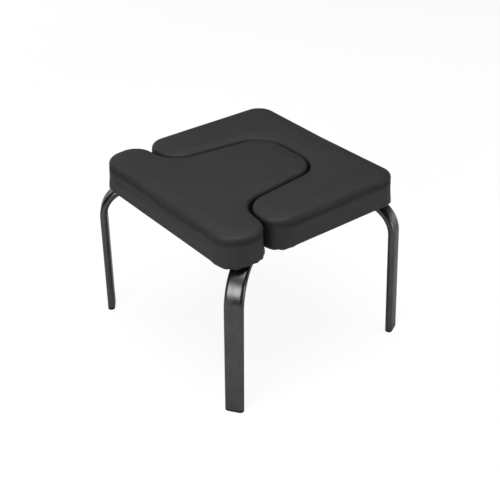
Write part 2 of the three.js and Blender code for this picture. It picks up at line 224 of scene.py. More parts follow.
# The four legs are flat-oval steel tube, each bent once into an upright and an arm, mitred where the
# arms meet behind the seat's centre, and drilled for the pads' fixings. They are sprayed a satin
# gunmetal paint that still shows the tube's fine drawing lines.
frame_body = "frame_and_c_pad"
lift_body = "t_pad"
seat_width = 0.400
seat_depth = 0.394
seat_half = seat_width / 2
seat_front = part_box("t_pad_cover")[0].y
seat_back = seat_front + seat_depth
tube_width = 0.035
tube_thickness = 0.014
tube_wall = 0.0015
tube_round_steps = 18
bend_radius = 0.063
bend_steps = 28
tube_foot, arm_top = (end.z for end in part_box("front_right_leg"))
arm_centre = arm_top - tube_thickness / 2
arm_bottom = arm_top - tube_thickness
mitre_gap = 0.0003
hub_depth_share = 0.7433
hub = Vector((0, seat_front + hub_depth_share * seat_depth))
foot_outset = 0.0063
front_foot_inset = 0.0033
back_foot_outset = 0.0024
front_foot = Vector((seat_half + foot_outset, seat_front + front_foot_inset))
back_foot = Vector((seat_half + foot_outset, seat_back + back_foot_outset))
front_splay = math.radians(0.1)
back_splay = math.radians(2.8)
drill_sides = 32
hole_clearance = 0.0005
sharp_angle = 35


def flat_oval(width, thickness, steps=tube_round_steps):
    """Section of the tube: two straight sides and two half-round edges."""
    flat = (width - thickness) / 2
    places = []
    for side, start in ((1, -math.pi / 2), (-1, math.pi / 2)):
        for step in range(steps + 1):
            angle = start + math.pi * step / steps
            places.append((side * flat + thickness / 2 * math.cos(angle), thickness / 2 * math.sin(angle)))
    return places


def leg_directions(foot):
    """A leg's level directions: in towards the hub, and across the tube."""
    inward = (hub - foot).normalized()
    return inward, Vector((-inward.y, inward.x))


def at_height(place, z):
    return Vector((place.x, place.y, z))


def leg_stations(splay):
    """Places in a leg's own upright plane, as (along, height, lean), from its foot to the bend's end."""
    height = arm_centre - bend_radius
    middle = (height + bend_radius * math.sin(splay)) * math.tan(splay) + bend_radius * math.cos(splay)
    stations = [(tube_foot * math.tan(splay), tube_foot, splay)]
    for step in range(bend_steps + 1):
        lean = splay + (math.pi / 2 - splay) * step / bend_steps
        along = middle - bend_radius * math.cos(lean)
        stations.append((along, height + bend_radius * math.sin(lean), lean))
    return stations


def leg_rings(foot, splay, width, thickness, end_planes):
    """Rings of a leg's wall, level at the foot and cut to the mitre planes at the hub end."""
    inward, sideways = leg_directions(foot)
    rings = []
    for along, height, lean in leg_stations(splay):
        ring = []
        for across, outward in flat_oval(width, thickness):
            reach = along + outward * math.cos(lean)
            place = foot + inward * reach + sideways * across
            ring.append(at_height(place, height - outward * math.sin(lean)))
        rings.append(ring)
    for place in rings[0]:
        slide = (tube_foot - place.z) * math.tan(splay)
        place.x += inward.x * slide
        place.y += inward.y * slide
        place.z = tube_foot
    last = []
    for place in rings[-1]:
        run = min((at - place.xy).dot(normal) / inward.dot(normal) for at, normal in end_planes)
        last.append(at_height(place.xy + inward * run, place.z))
    rings.append(last)
    return rings


def new_form():
    """An empty mesh, with a map of the distance round and along it in metres."""
    bm = bmesh.new()
    return bm, bm.loops.layers.uv.new("round_and_along")


def add_rings(bm, rings, uv, flip=False):
    """Faces between rings."""
    rows = [[bm.verts.new(place) for place in ring] for ring in rings]
    count = len(rings[0])
    along = 0.0
    for low in range(len(rows) - 1):
        high = low + 1
        length = (rings[high][0] - rings[low][0]).length
        around = 0.0
        for point in range(count):
            after = (point + 1) % count
            width = (rings[low][after] - rings[low][point]).length
            corners = [rows[low][point], rows[low][after], rows[high][after], rows[high][point]]
            places = [(around, along), (around + width, along),
                      (around + width, along + length), (around, along + length)]
            if flip:
                corners.reverse()
                places.reverse()
            face = bm.faces.new(corners)
            for loop, place in zip(face.loops, places):
                loop[uv].uv = place
            around += width
        along += length
    return rows


def add_solid(bm, rings, uv):
    """Faces between rings, closed by the first and the last one."""
    rows = add_rings(bm, rings, uv)
    bm.faces.new(rows[0])
    bm.faces.new(rows[-1])


def mesh_from(bm, name):
    mesh = bpy.data.meshes.new(name)
    bm.to_mesh(mesh)
    bm.free()
    return mesh


def shade(mesh, sharp=sharp_angle):
    """Smooths a mesh, but for the edges that turn more than an angle in degrees."""
    mesh.shade_smooth()
    mesh.set_sharp_from_angle(angle=math.radians(sharp))


def finished(bm, name, sharp=sharp_angle):
    """The piece that a form makes, with its faces outward and shaded."""
    bmesh.ops.recalc_face_normals(bm, faces=bm.faces)
    mesh = mesh_from(bm, name)
    shade(mesh, sharp)
    return mesh_object(name, mesh)


def settle(piece):
    """Applies the piece's modifiers."""
    shown = piece.evaluated_get(bpy.context.evaluated_depsgraph_get())
    mesh = bpy.data.meshes.new_from_object(shown)
    piece.modifiers.clear()
    piece.data = mesh


def cut_away(piece, cutter):
    """Takes the cutter's form out of a piece."""
    cut = piece.modifiers.new("cut", "BOOLEAN")
    cut.object = cutter
    cut.solver = "EXACT"
    settle(piece)
    bpy.data.objects.remove(cutter)
    shade(piece.data)


def on_circle(centre, radius, part, parts):
    """A place a part of the way round a circle, seen from above."""
    angle = 2 * math.pi * part / parts
    return Vector((centre.x + radius * math.cos(angle), centre.y + radius * math.sin(angle)))


def spun_rings(profile, centre, sides):
    """Rings of a turned form: radius and height pairs spun about an upright axis."""
    return [
        [at_height(on_circle(centre, radius, side, sides), height) for side in range(sides)]
        for radius, height in profile
    ]


def drill(piece, holes):
    """Bores upright holes, each a place and a diameter, through the piece's arm."""
    bm, uv = new_form()
    for centre, diameter in holes:
        ends = [(diameter / 2, arm_bottom - tube_thickness), (diameter / 2, arm_top + tube_thickness)]
        add_solid(bm, spun_rings(ends, centre, drill_sides), uv)
    cut_away(piece, finished(bm, "drill"))


def fixing_places(kind, names):
    """Where the fixings of one kind stand, by name, seen from above."""
    places = {}
    for name in names:
        low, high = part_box(f"{kind}_{name}")
        places[name] = ((low + high) / 2).xy
    return places


bolt_diameter = 0.006
screw_diameter = 0.0045
stud_diameter = 0.008
stud_places = fixing_places("t_pad_stud", ("bar_right", "bar_left", "tongue_right", "tongue_left"))
bolt_places = fixing_places("c_pad_bolt", ("corner_right", "corner_left", "back_right", "back_left"))
screw_places = fixing_places("c_pad_screw", ("front_right", "front_left"))


def right_holes(places, diameter):
    """The right-hand fixings' holes, each a place and a diameter."""
    bore = diameter + 2 * hole_clearance
    return [(place, bore) for name, place in places.items() if name.endswith("right")]


def tube_leg(name, foot, splay, end_planes, holes):
    outer = leg_rings(foot, splay, tube_width, tube_thickness, end_planes)
    inner = leg_rings(foot, splay, tube_width - 2 * tube_wall, tube_thickness - 2 * tube_wall, end_planes)
    bm, uv = new_form()
    outside = add_rings(bm, outer, uv)
    bore = add_rings(bm, inner, uv, flip=True)
    count = len(outer[0])
    for end in (0, -1):
        for point in range(count):
            after = (point + 1) % count
            bm.faces.new([outside[end][point], outside[end][after], bore[end][after], bore[end][point]])
    leg = finished(bm, name)
    drill(leg, holes)
    return leg


def mirrored(piece, name):
    """The left-hand twin of a right-hand piece."""
    bm = bmesh.new()
    bm.from_mesh(piece.data)
    for vertex in bm.verts:
        vertex.co.x = -vertex.co.x
    bmesh.ops.reverse_faces(bm, faces=bm.faces)
    return mesh_object(name, mesh_from(bm, name))


def dress(piece, body, finish, replaced=None):
    """Gives a piece its finish and its body, and hides the CAD piece that it stands for."""
    piece.data.materials.append(finish)
    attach(piece, body)
    if replaced:
        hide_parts(replaced)


mix_first = 6
mix_second = 7
mix_colour = 2
cloud_low = 0.3
cloud_high = 0.7


def mixed(tree, factor, first, second, blend="MIX"):
    """Two colours mixed by a factor, which gives the first at 0."""
    made = node(tree, "ShaderNodeMix", Factor=factor)
    made.data_type = "RGBA"
    made.blend_type = blend
    feed(tree, made.inputs[mix_first], first)
    feed(tree, made.inputs[mix_second], second)
    return made.outputs[mix_colour]


def noisy(tree, place, **inputs):
    return node(tree, "ShaderNodeTexNoise", Vector=place, **inputs).outputs["Fac"]


def make_mottle():
    """Slow and fine cloudiness that every finish has: its colour and its gloss both wander a little."""
    group = bpy.data.node_groups.new("mottle", "ShaderNodeTree")
    sockets = group.interface
    for name in ("Scale", "Gloss Low", "Gloss High"):
        sockets.new_socket(name=name, in_out="INPUT", socket_type="NodeSocketFloat")
    for name in ("Dark", "Light"):
        sockets.new_socket(name=name, in_out="INPUT", socket_type="NodeSocketColor")
    sockets.new_socket(name="Colour", in_out="OUTPUT", socket_type="NodeSocketColor")
    sockets.new_socket(name="Roughness", in_out="OUTPUT", socket_type="NodeSocketFloat")
    given = node(group, "NodeGroupInput").outputs
    place = node(group, "ShaderNodeTexCoord").outputs["Object"]
    cloud = noisy(group, place, Scale=given["Scale"], Detail=5, Roughness=0.6)
    share = spread(group, cloud, From_Min=cloud_low, From_Max=cloud_high)
    gloss = spread(group, cloud, From_Min=cloud_low, From_Max=cloud_high,
                   To_Min=given["Gloss Low"], To_Max=given["Gloss High"])
    colour = mixed(group, share, given["Dark"], given["Light"])
    node(group, "NodeGroupOutput", Colour=colour, Roughness=gloss)
    return group


mottle = make_mottle()


def mottled(tree, scale, dark, light, gloss_low, gloss_high):
    """Colour and roughness that wander between two colours and two values."""
    made = node(tree, "ShaderNodeGroup")
    made.node_tree = mottle
    fill_in(tree, made, Scale=scale, Dark=(*dark, 1), Light=(*light, 1),
            Gloss_Low=gloss_low, Gloss_High=gloss_high)
    return made.outputs["Colour"], made.outputs["Roughness"]


def relief(tree, height, strength, distance, **under):
    """Normals of a fine relief, over those of a coarser one where it is given."""
    made = node(tree, "ShaderNodeBump", Height=height, Strength=strength, Distance=distance, **under)
    return made.outputs["Normal"]


def make_tube_paint():
    """Satin gunmetal: a fine orange peel over lines that run along the tube and break up its shine."""
    finish, tree, shader = new_finish("tube_paint")
    colour, gloss = mottled(tree, scale=26, dark=(0.078, 0.077, 0.08), light=(0.1, 0.099, 0.102),
                            gloss_low=0.25, gloss_high=0.31)
    place = node(tree, "ShaderNodeTexCoord").outputs
    drawn = node(tree, "ShaderNodeMapping", Vector=place["UV"], Scale=(36, 0.25, 1)).outputs["Vector"]
    streak = noisy(tree, drawn, Scale=1, Detail=4, Roughness=0.65)
    dulled = spread(tree, streak, From_Min=0.35, From_Max=0.65, To_Min=0, To_Max=0.12)
    lines = relief(tree, streak, strength=1, distance=0.0009)
    peel = noisy(tree, place["Object"], Scale=900, Detail=2, Roughness=0.5)
    fill_in(tree, shader, Metallic=1, Specular_Tint=grey(0.85), Base_Color=colour,
            Roughness=computed(tree, "ADD", gloss, dulled),
            Normal=relief(tree, peel, strength=0.5, distance=0.00004, Normal=lines))
    return finish


tube_paint = make_tube_paint()
centre_plane = (Vector((mitre_gap / 2, 0)), Vector((-1, 0)))
_, back_side = leg_directions(back_foot)
back_arm_face = (hub + back_side * (tube_width / 2 + mitre_gap), -back_side)
front_holes = right_holes(stud_places, stud_diameter) + right_holes(screw_places, screw_diameter)
back_holes = right_holes(bolt_places, bolt_diameter)
front_planes = [centre_plane, back_arm_face]
right_legs = {
    "front": tube_leg("front_right_tube", front_foot, front_splay, front_planes, front_holes),
    "back": tube_leg("back_right_tube", back_foot, back_splay, [centre_plane], back_holes),
}
for end, right_leg in right_legs.items():
    left_leg = mirrored(right_leg, f"{end}_left_tube")
    for side, leg in (("right", right_leg), ("left", left_leg)):
        dress(leg, frame_body, tube_paint, f"{end}_{side}_leg")


# The hub plate is 4 mm steel under the four mitred arm ends. It is welded to each arm where its edge
# crosses under the tube, and the beads keep their ripples under the paint.
plate_width_share = 0.31
plate_half = plate_width_share * seat_half
plate_depth = 0.084
plate_thickness = 0.004
plate_corner = 0.014
under_arm = arm_bottom - mitre_gap
plate_bottom = under_arm - plate_thickness
plate_chamfer = 0.0006
plate_step = 0.0015
outline_step = 0.004
same_place = 1e-7


def mirror_corners(half):
    """Both sides of an outline, from the corners of its right-hand half in order."""
    return half + [(-x, *rest) for x, *rest in reversed(half) if x != 0]


def filleted(corners, step=outline_step):
    """Walks a filleted outline: each place has its position, its inward normal and its edge's fullness.

    A corner is (x, y, fillet radius, fullness), and places are about a step apart."""
    arcs = []
    for i, (x, y, radius, fullness) in enumerate(corners):
        here = Vector((x, y))
        arriving = (here - Vector(corners[i - 1][:2])).normalized()
        leaving = (Vector(corners[(i + 1) % len(corners)][:2]) - here).normalized()
        turn = math.atan2(arriving.x * leaving.y - arriving.y * leaving.x, arriving.dot(leaving))
        side = math.copysign(1, turn)
        first = Vector((-arriving.y, arriving.x))
        last = Vector((-leaving.y, leaving.x))
        centre = here + (first + last) / (1 + math.cos(turn)) * side * radius
        steps = max(2, math.ceil(abs(turn) * radius / step))
        arc = []
        for part in range(steps + 1):
            angle = turn * part / steps
            normal = Vector((
                first.x * math.cos(angle) - first.y * math.sin(angle),
                first.x * math.sin(angle) + first.y * math.cos(angle),
            ))
            arc.append((centre - normal * side * radius, normal, fullness))
        arcs.append(arc)
    places = []
    for i, arc in enumerate(arcs):
        places += arc
        start, normal, fullness = arc[-1]
        end, _, next_fullness = arcs[(i + 1) % len(arcs)][0]
        steps = max(1, round((end - start).length / step))
        for part in range(1, steps):
            share = part / steps
            ease = share * share * (3 - 2 * share)
            places.append((start.lerp(end, share), normal, fullness + (next_fullness - fullness) * ease))
    return places


def inside(place, outline):
    """True where a place lies inside a closed outline."""
    crossings = 0
    for i, here in enumerate(outline):
        before = outline[i - 1]
        if (here.y > place.y) != (before.y > place.y):
            at = before.x + (place.y - before.y) * (here.x - before.x) / (here.y - before.y)
            crossings += at > place.x
    return crossings % 2 == 1


def middle_of(places):
    return sum(places, Vector((0, 0))) / len(places)


def next_to_each(count, first=0):
    """Edges round a ring of places, by their numbers."""
    return [(first + i, first + (i + 1) % count) for i in range(count)]


def cap_ring(bm, ring, flip=False):
    """Closes a ring, which may be concave, with triangles."""
    flat = [place.co.xy for place in ring]
    _, _, faces, kept, _, _ = delaunay_2d_cdt(flat, next_to_each(len(ring)), [], 0, same_place)
    for face in faces:
        corners = [ring[kept[i][0]] for i in face]
        if inside(middle_of([place.co.xy for place in corners]), flat):
            bm.faces.new(reversed(corners) if flip else corners)


def offset_rings(places, levels):
    """Rings inside an outline: each level gives an inset and a height for an edge's fullness."""
    rings = []
    for level in levels:
        ring = []
        for place, normal, fullness in places:
            inset, z = level(fullness)
            ring.append(at_height(place + normal * inset, z))
        rings.append(ring)
    return rings


def add_capped(bm, rings, uv):
    """Faces between rings, closed at both ends by flat caps."""
    rows = add_rings(bm, rings, uv)
    cap_ring(bm, rows[0], flip=True)
    cap_ring(bm, rows[-1])


def plate_level(inset, z):
    """A level of the plate's edge, which is as full all the way round."""
    def level(_):
        return inset, z
    return level


plate_corners = mirror_corners([
    (plate_half, hub.y - plate_depth / 2, plate_corner, 1),
    (plate_half, hub.y + plate_depth / 2, plate_corner, 1),
])
plate_form, plate_map = new_form()
add_capped(plate_form, offset_rings(filleted(plate_corners, plate_step), [
    plate_level(plate_chamfer, plate_bottom),
    plate_level(0, plate_bottom + plate_chamfer),
    plate_level(0, under_arm - plate_chamfer),
    plate_level(plate_chamfer, under_arm),
]), plate_map)
dress(finished(plate_form, "hub_plate_cut"), frame_body, tube_paint, "hub_plate")

bead_radius = 0.0026
bead_ripple = 0.0003
bead_pitch = 0.0026
bead_sides = 14
bead_step = 0.0006
bead_taper_steps = 3
bead_tip_share = 0.2
bead_sunk_share = 0.55
bead_sharp = 60
arm_feet = [Vector((side * foot.x, foot.y)) for foot in (front_foot, back_foot) for side in (1, -1)]


def off_arm(place):
    """How far a place is outside the nearest arm, level with it."""
    nearest = tube_width
    for foot in arm_feet:
        inward, _ = leg_directions(foot)
        offset = place - foot
        if offset.dot(inward) > bend_radius / 2 and (place - hub).dot(inward) < 0:
            nearest = min(nearest, abs(offset.x * inward.y - offset.y * inward.x) - tube_width / 2)
    return nearest


def add_bead(bm, uv, path):
    """A rippled weld bead along a path of places and outward directions, tapered at both ends."""
    bead_centre = under_arm - bead_radius * bead_sunk_share
    rings = []
    travelled = 0.0
    for i, (place, outward) in enumerate(path):
        travelled += (place - path[i - 1][0]).length if i else 0
        taper = bead_tip_share + min(i, len(path) - 1 - i) / bead_taper_steps
        radius = bead_radius + bead_ripple * math.cos(2 * math.pi * travelled / bead_pitch)
        radius *= math.sqrt(min(1, taper))
        ring = []
        for side in range(bead_sides):
            angle = 2 * math.pi * side / bead_sides
            flat = place + outward * radius * math.cos(angle)
            ring.append(at_height(flat, bead_centre + radius * math.sin(angle)))
        rings.append(ring)
    add_solid(bm, rings, uv)


def make_beads():
    edge = filleted(plate_corners, bead_step)
    bm, uv = new_form()
    run = []
    start = next(i for i, (place, _, _) in enumerate(edge) if off_arm(place) > 0)
    for place, normal, _ in edge[start:] + edge[:start + 1]:
        if off_arm(place) < -bead_radius / 2:
            run.append((place, -normal))
        elif run:
            add_bead(bm, uv, run)
            run = []
    return finished(bm, "hub_weld_beads", bead_sharp)


dress(make_beads(), frame_body, tube_paint)


# Each tube stands on a moulded black plastic cap: a rim as wide as the tube, a sole with a shallow
# recess, and a ribbed plug that is pushed up inside the tube and grips it.
cap_base = 0.004
cap_round = 0.001
cap_round_steps = 4
cap_top_round = cap_round / 4
cap_recess = 0.0008
cap_rim = 0.0028
cap_steps = 14
cap_sharp = 40
plug_clearance = 0.00035
plug_inset = tube_wall + plug_clearance
plug_length = 0.020
rib_depth = 0.0009
rib_count = 3
rib_shares = (0.3, 0.45, 0.6, 0.95)


def cap_levels():
    """The cap from its sole up, as an inset from the tube's section and a height."""
    levels = [(cap_rim + cap_recess, cap_recess), (cap_rim, 0)]
    for step in range(cap_round_steps + 1):
        angle = math.pi / 2 * step / cap_round_steps
        levels.append((cap_round * (1 - math.sin(angle)), cap_round * (1 - math.cos(angle))))
    levels += [(0, cap_base - cap_top_round), (cap_top_round, cap_base), (plug_inset + rib_depth, cap_base)]
    for rib in range(rib_count):
        low = cap_base + plug_length * rib / rib_count
        for share, depth in zip(rib_shares, (rib_depth, 0, 0, rib_depth)):
            levels.append((plug_inset + depth, low + plug_length / rib_count * share))
    return levels


def foot_cap(name, foot, splay):
    inward, sideways = leg_directions(foot)
    rings = []
    for inset, z in cap_levels():
        ring = []
        for across, outward in flat_oval(tube_width - 2 * inset, tube_thickness - 2 * inset, cap_steps):
            place = foot + inward * (outward + z * math.tan(splay)) + sideways * across
            ring.append(at_height(place, z))
        rings.append(ring)
    bm, uv = new_form()
    add_solid(bm, rings, uv)
    return finished(bm, name, cap_sharp)


def make_foot_plastic():
    """Black polyethylene with a fine moulded texture, scuffed a little duller in places."""
    finish, tree, shader = new_finish("foot_plastic")
    colour, gloss = mottled(tree, scale=120, dark=(0.003, 0.003, 0.003), light=(0.006, 0.006, 0.006),
                            gloss_low=0.5, gloss_high=0.65)
    place = node(tree, "ShaderNodeTexCoord").outputs["Object"]
    texture = noisy(tree, place, Scale=1800, Detail=2)
    fill_in(tree, shader, Specular_IOR_Level=0.12, Base_Color=colour, Roughness=gloss,
            Normal=relief(tree, texture, strength=0.4, distance=0.00008))
    return finish


foot_plastic = make_foot_plastic()
for end, foot, splay in (("front", front_foot, front_splay), ("back", back_foot, back_splay)):
    right_cap = foot_cap(f"{end}_right_foot", foot, splay)
    left_cap = mirrored(right_cap, f"{end}_left_foot")
    for side, cap in (("right", right_cap), ("left", left_cap)):
        dress(cap, frame_body, foot_plastic, f"{end}_{side}_foot_cap")


# Inside each pad is a 12 mm birch plywood board, cut a little smaller than the cover. The CAD boards
# have its real shape, so they stay and take a finish with the plies on the edge and grain on the face.
ply_thickness = 0.0015
ply_edge_starts = 0.0006
ply_edge_ends = 0.0009
pale_wood = (0.56, 0.38, 0.2, 1)
dark_wood = (0.36, 0.22, 0.11, 1)
end_grain_tint = (0.62, 0.52, 0.45, 1)


def make_plywood():
    """Birch: grain along the face, and every other ply darker on the edge."""
    finish, tree, shader = new_finish("plywood")
    place = node(tree, "ShaderNodeTexCoord").outputs["Object"]
    along_grain = node(tree, "ShaderNodeMapping", Vector=place, Scale=(9, 160, 9)).outputs["Vector"]
    grain = noisy(tree, along_grain, Scale=1, Detail=6, Roughness=0.65, Distortion=0.6)
    wood = node(tree, "ShaderNodeValToRGB", Fac=grain)
    for element, (position, colour) in zip(wood.color_ramp.elements, ((0.35, dark_wood), (0.7, pale_wood))):
        element.position = position
        element.color = colour
    height = node(tree, "ShaderNodeSeparateXYZ", Vector=place).outputs["Z"]
    ply = computed(tree, "PINGPONG", height, ply_thickness)
    band = spread(tree, ply, From_Min=ply_edge_starts, From_Max=ply_edge_ends)
    fill_in(tree, shader, Specular_IOR_Level=0.3,
            Base_Color=mixed(tree, band, wood.outputs["Color"], end_grain_tint, blend="MULTIPLY"),
            Roughness=spread(tree, grain, To_Min=0.6, To_Max=0.8),
            Normal=relief(tree, grain, strength=0.4, distance=0.0002))
    return finish


def repaint(cad_name, finish):
    """Gives a CAD piece that stays its real finish."""
    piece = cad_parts[cad_name]
    piece.data.materials.clear()
    piece.data.materials.append(finish)


plywood = make_plywood()
for board in ("c_pad_board", "t_pad_board"):
    repaint(board, plywood)


# Zinc-plated tee nuts are knocked into the boards from above, one for each fixing. They are covered by
# the foam, so the CAD nuts stay and take the plating.
def make_zinc():
    """Bright zinc plating with fine turning marks round each fixing and a faint blue passivation."""
    finish, tree, shader = new_finish("zinc_plate")
    colour, gloss = mottled(tree, scale=300, dark=(0.5, 0.51, 0.53), light=(0.66, 0.67, 0.68),
                            gloss_low=0.24, gloss_high=0.38)
    place = node(tree, "ShaderNodeTexCoord").outputs["Object"]
    turned = node(tree, "ShaderNodeMapping", Vector=place, Scale=(40, 40, 4200)).outputs["Vector"]
    marks = noisy(tree, turned, Scale=1, Detail=3)
    fill_in(tree, shader, Metallic=1, Base_Color=colour, Roughness=gloss,
            Normal=relief(tree, marks, strength=0.25, distance=0.00003))
    return finish


zinc_plate = make_zinc()
for pad, places in (("c_pad", bolt_places), ("t_pad", stud_places)):
    for place_name in places:
        repaint(f"{pad}_tee_nut_{place_name}", zinc_plate)


# Each pad has a block of firm polyurethane foam glued on its board, cut to the pad's outline with
# rounded top edges. The T pad's tongue fills the neck space of the C pad.
hem_bottom, seat_top = (end.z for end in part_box("t_pad_cover"))
board_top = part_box("t_pad_board")[1].z
foot_radius = 0.003
wall_foot = hem_bottom + foot_radius
edge_radius = 0.009
wall_draw = 0.001
crown = 0.002
shorter_side = min(seat_width, seat_depth)
slot_corner = 0.1 * shorter_side
crown_reach = 0.8 * slot_corner
seam_fullness = 0.8
slot_fullness = 0.9
slot_width = 0.0075
seam_width = 0.003
bar_rear = seat_front + 0.2294 * seat_depth
bar_flare = 0.0175 * seat_depth
neck_half = 0.2613 * seat_width
tongue_end = seat_front + 0.7665 * seat_depth
tongue_bow = 0.0041 * seat_depth
tongue_half = 0.198 * seat_width
outer_corner = 0.113 * shorter_side
back_corner = 0.0947 * shorter_side
neck_corner = 0.137 * shorter_side
tongue_corner = 0.14 * shorter_side
bow_radius = 2.5 * shorter_side
dip = 0.0101 * seat_depth
dip_radius = 1.78 * shorter_side

t_corners = mirror_corners([
    (seat_half, seat_front, outer_corner, 1),
    (seat_half, bar_rear, slot_corner, slot_fullness),
    (neck_half, bar_rear + bar_flare, neck_corner, seam_fullness),
    (tongue_half, tongue_end - tongue_bow, tongue_corner, seam_fullness),
    (0, tongue_end, bow_radius, seam_fullness),
])
mouth_end = tongue_end + seam_width
mouth_corner = tongue_corner + seam_width
neck_start = bar_rear + bar_flare + seam_width
c_corners = mirror_corners([
    (0, mouth_end, bow_radius, seam_fullness),
    (tongue_half + seam_width, mouth_end - tongue_bow, mouth_corner, seam_fullness),
    (neck_half + seam_width, neck_start, neck_corner - seam_width, seam_fullness),
    (seat_half, bar_rear + slot_width, slot_corner, slot_fullness),
    (seat_half, seat_back, back_corner, 1),
    (0, seat_back - dip, dip_radius, 1),
])
pad_outlines = {"c_pad": filleted(c_corners), "t_pad": filleted(t_corners)}
pad_bodies = {"c_pad": frame_body, "t_pad": lift_body}
wall_steps = 12
round_steps = 8
crown_steps = 5


def wall_level(depth, bottom, share):
    """The side wall, from a height (0) to its shoulder (1), leaning in a little above its foot."""
    def level(fullness):
        shoulder = seat_top - fullness * (crown + edge_radius)
        z = bottom + (shoulder - bottom) * share
        return depth + fullness * wall_draw * max(0, z - wall_foot) / (shoulder - wall_foot), z
    return level


def shoulder_level(depth, share):
    """The rounded edge, from its start on the wall (0) to its end on the top (1)."""
    angle = math.pi / 2 * share

    def level(fullness):
        radius = fullness * edge_radius
        inset = fullness * wall_draw + radius - (radius - depth) * math.cos(angle)
        return inset, seat_top - fullness * crown - radius + (radius - depth) * math.sin(angle)
    return level


def crown_level(depth, share):
    """The soft rise of the top, from the rounded edge (0) to the flat middle (1)."""
    def level(fullness):
        start = fullness * (wall_draw + edge_radius)
        inset = start + (fullness * crown_reach - start) * share
        return inset, seat_top - fullness * crown * (1 - share) ** 2 - depth
    return level


def wall_to_top(depth, bottom):
    """All levels of a pad's outer surface, or of one at some depth in it, from a height upward."""
    levels = [wall_level(depth, bottom, step / wall_steps) for step in range(wall_steps)]
    levels += [shoulder_level(depth, step / round_steps) for step in range(round_steps + 1)]
    levels += [crown_level(depth, step / crown_steps) for step in range(1, crown_steps + 1)]
    return levels


def make_foam():
    """Cream open-cell foam: small pores of mixed sizes."""
    finish, tree, shader = new_finish("foam")
    colour, gloss = mottled(tree, scale=18, dark=(0.6, 0.54, 0.36), light=(0.72, 0.66, 0.48),
                            gloss_low=0.9, gloss_high=1.0)
    place = node(tree, "ShaderNodeTexCoord").outputs["Object"]
    pores = node(tree, "ShaderNodeTexVoronoi", Vector=place, Scale=1400).outputs["Distance"]
    fill_in(tree, shader, Specular_IOR_Level=0.1, Base_Color=colour, Roughness=gloss,
            Normal=relief(tree, pores, strength=0.8, distance=0.0004))
    return finish


foam_depth = 0.0046
glue_line = 0.0003
foam_sharp = 50
foam = make_foam()
for pad, outline in pad_outlines.items():
    bm, uv = new_form()
    add_capped(bm, offset_rings(outline, wall_to_top(foam_depth, board_top + glue_line)), uv)
    block = finished(bm, f"{pad}_foam_block", foam_sharp)
    dress(block, pad_bodies[pad], foam, f"{pad}_foam")


# Each cover is one sheet of matte black PU leather, pulled over the foam and board, turned under as a
# hem and stapled. It swells a little between its edges, and at the rounded corners the spare leather
# is gathered into small pleats under the pad.
cover_thickness = 0.0012
hem_width = 0.012
hem_steps = 2
foot_steps = 4
fill_pitch = 0.0055
fill_room_share = 0.7
never_sharp = 180
swell_start = 0.0012
swell_cap = 0.0026
swell_sideways = 0.0009
swell_frames = 20
swell_pressure = 4
foam_give = 0.0003
held_below = board_top - 0.009
free_above = board_top + 0.005
membrane_lift = 0.0004


def hem_level(share):
    """The hem under the board, from its raw edge (0) to where it turns up (1)."""
    def level(_):
        return hem_width + (foot_radius - hem_width) * share, hem_bottom
    return level


def foot_level(share):
    """The small round between the hem (0) and the wall (1)."""
    angle = math.pi / 2 * share

    def level(_):
        return foot_radius * (1 - math.sin(angle)), hem_bottom + foot_radius * (1 - math.cos(angle))
    return level


def cover_levels():
    levels = [hem_level(step / hem_steps) for step in range(hem_steps + 1)]
    levels += [foot_level(step / foot_steps) for step in range(1, foot_steps)]
    return levels + wall_to_top(0, wall_foot)


def even_net(outline, taken, pitch, row_pitch, room_share, first_column=0):
    """Places of an even net inside an outline, with some room round the places that are taken."""
    low = Vector((min(p.x for p in outline), min(p.y for p in outline)))
    high = Vector((max(p.x for p in outline), max(p.y for p in outline)))
    room = (pitch * room_share) ** 2
    net = []
    for row in range(1, int((high.y - low.y) / row_pitch) + 1):
        for column in range(first_column, int((high.x - low.x) / pitch) + 1):
            place = Vector((low.x + (column + row % 2 / 2) * pitch, low.y + row * row_pitch))
            if inside(place, outline) and min((place - p).length_squared for p in taken) > room:
                net.append(place)
    return net


def fill_top(bm, ring, z):
    """Fills a ring with an even net of triangles, fine enough to swell and crease."""
    flat = [place.co.xy for place in ring]
    net = even_net(flat, flat, fill_pitch, fill_pitch * math.sqrt(3) / 2, fill_room_share)
    made, _, faces, kept, _, _ = delaunay_2d_cdt(flat + net, next_to_each(len(ring)), [], 0, same_place)
    points = []
    for i, place in enumerate(made):
        first = kept[i][0]
        points.append(ring[first] if first < len(ring) else bm.verts.new(at_height(place, z)))
    for face in faces:
        if inside(middle_of([made[i] for i in face]), flat):
            bm.faces.new([points[i] for i in face])


def make_sheet(name, outline):
    """The cover's outer face, with a membrane under it that closes it while it swells."""
    bm, uv = new_form()
    rows = add_rings(bm, offset_rings(outline, cover_levels()), uv)
    cap_ring(bm, rows[0], flip=True)
    fill_top(bm, rows[-1], seat_top)
    return finished(bm, name, never_sharp)


